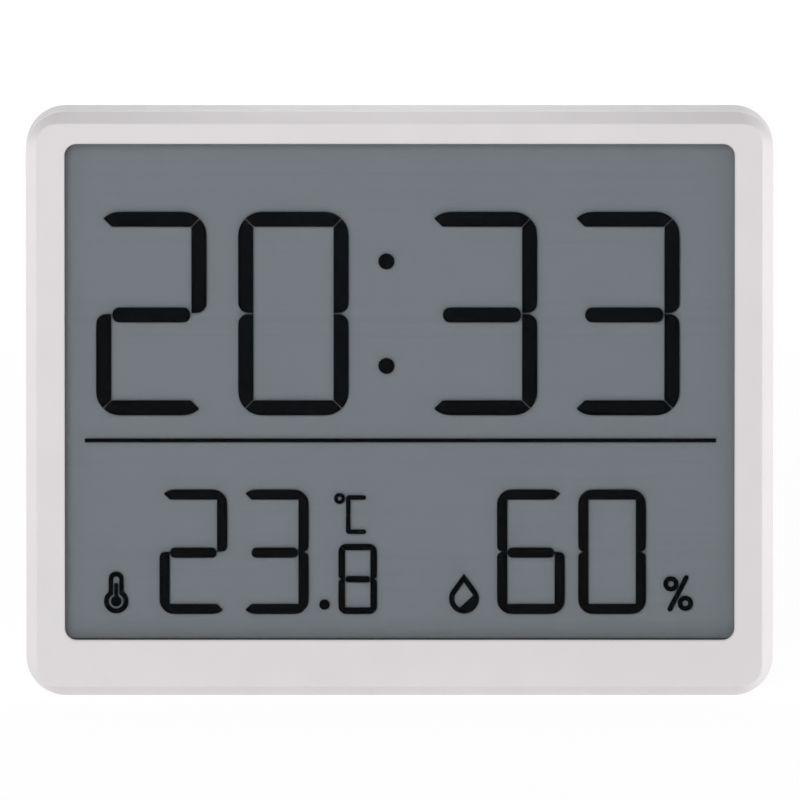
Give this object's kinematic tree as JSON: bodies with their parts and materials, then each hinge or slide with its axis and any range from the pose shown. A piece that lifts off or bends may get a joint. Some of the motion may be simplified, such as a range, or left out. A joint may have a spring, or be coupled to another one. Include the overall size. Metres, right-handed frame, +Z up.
{
  "type": "thermometer hygrometer clock",
  "caption": "White rounded-rectangle desk and wall clock with a large grey LCD for time, temperature and humidity, a fold-out stand, a battery door and rear keys.",
  "frame": {"origin": "on the surface that the case stands on, below the middle of the case", "axes": "+X to the right as seen from the front, +Y from the display to the back, +Z up"},
  "size_m": [0.165, 0.018, 0.1298],
  "materials": {
    "case_white": "satin moulded",
    "key_white": "satin moulded",
    "lens_clear": "clear polished",
    "polariser_film": "clear film",
    "display_glass": "clear polished",
    "display_black": "dark liquid crystal",
    "display_seal": "matt",
    "display_grey": "fine matt",
    "gasket_foam": "fine foam",
    "connector_rubber": "layered rubber",
    "retainer_plastic": "moulded",
    "board_green": "solder mask",
    "chip_epoxy": "poured epoxy",
    "crystal_can": "drawn can",
    "capacitor_ceramic": "ceramic",
    "sensor_case": "moulded",
    "switch_case": "moulded",
    "plunger_plastic": "moulded",
    "screw_steel": "plated",
    "contact_nickel": "nickel plated",
    "cell_wrap": "printed wrap without print"
  },
  "bodies": {
    "case": {"front_bezel": "case_white", "rear_housing": "case_white", "front_lens": "lens_clear", "lcd_front_polariser": "polariser_film", "lcd_front_glass": "display_glass", "lcd_rear_glass": "display_glass", "lcd_time_segments": "display_black", "lcd_climate_segments": "display_black", "lcd_marks": "display_black", "lcd_edge_seal": "display_seal", "lcd_reflector": "display_grey", "display_gasket": "gasket_foam", "zebra_connector": "connector_rubber", "display_frame": "retainer_plastic", "main_board": "board_green", "controller_chip": "chip_epoxy", "clock_crystal": "crystal_can", "board_capacitors": "capacitor_ceramic", "climate_sensor": "sensor_case", "switch_bodies": "switch_case", "display_frame_screws": "screw_steel", "board_screws": "screw_steel", "case_screws": "screw_steel", "contact_positive": "contact_nickel", "contact_negative": "contact_nickel", "contact_bridge": "contact_nickel", "battery_upper": "cell_wrap", "battery_lower": "cell_wrap"},
    "stand": {"kickstand": "case_white"},
    "battery_cover": {"battery_door": "case_white"},
    "set_key": {"set_button": "key_white", "set_switch_plunger": "plunger_plastic"},
    "up_key": {"up_button": "key_white", "up_switch_plunger": "plunger_plastic"},
    "down_key": {"down_button": "key_white", "down_switch_plunger": "plunger_plastic"}
  },
  "joints": [
    {"name": "stand_hinge", "type": "hinge", "parent": "case", "child": "stand", "pos_m": [0, 0.0063, 0.064], "axis": [1, 0, 0], "range_deg": [0, 40]},
    {"name": "battery_door_hinge", "type": "hinge", "parent": "case", "child": "battery_cover", "pos_m": [0, 0.009, 0.094], "axis": [1, 0, 0], "range_deg": [0, 60]},
    {"name": "set_press", "type": "slide", "parent": "case", "child": "set_key", "axis": [0, -1, 0], "range_m": [0, 0.0005], "stiffness_N_per_m": 400},
    {"name": "up_press", "type": "slide", "parent": "case", "child": "up_key", "axis": [0, -1, 0], "range_m": [0, 0.0005], "stiffness_N_per_m": 400},
    {"name": "down_press", "type": "slide", "parent": "case", "child": "down_key", "axis": [0, -1, 0], "range_m": [0, 0.0005], "stiffness_N_per_m": 400}
  ]
}
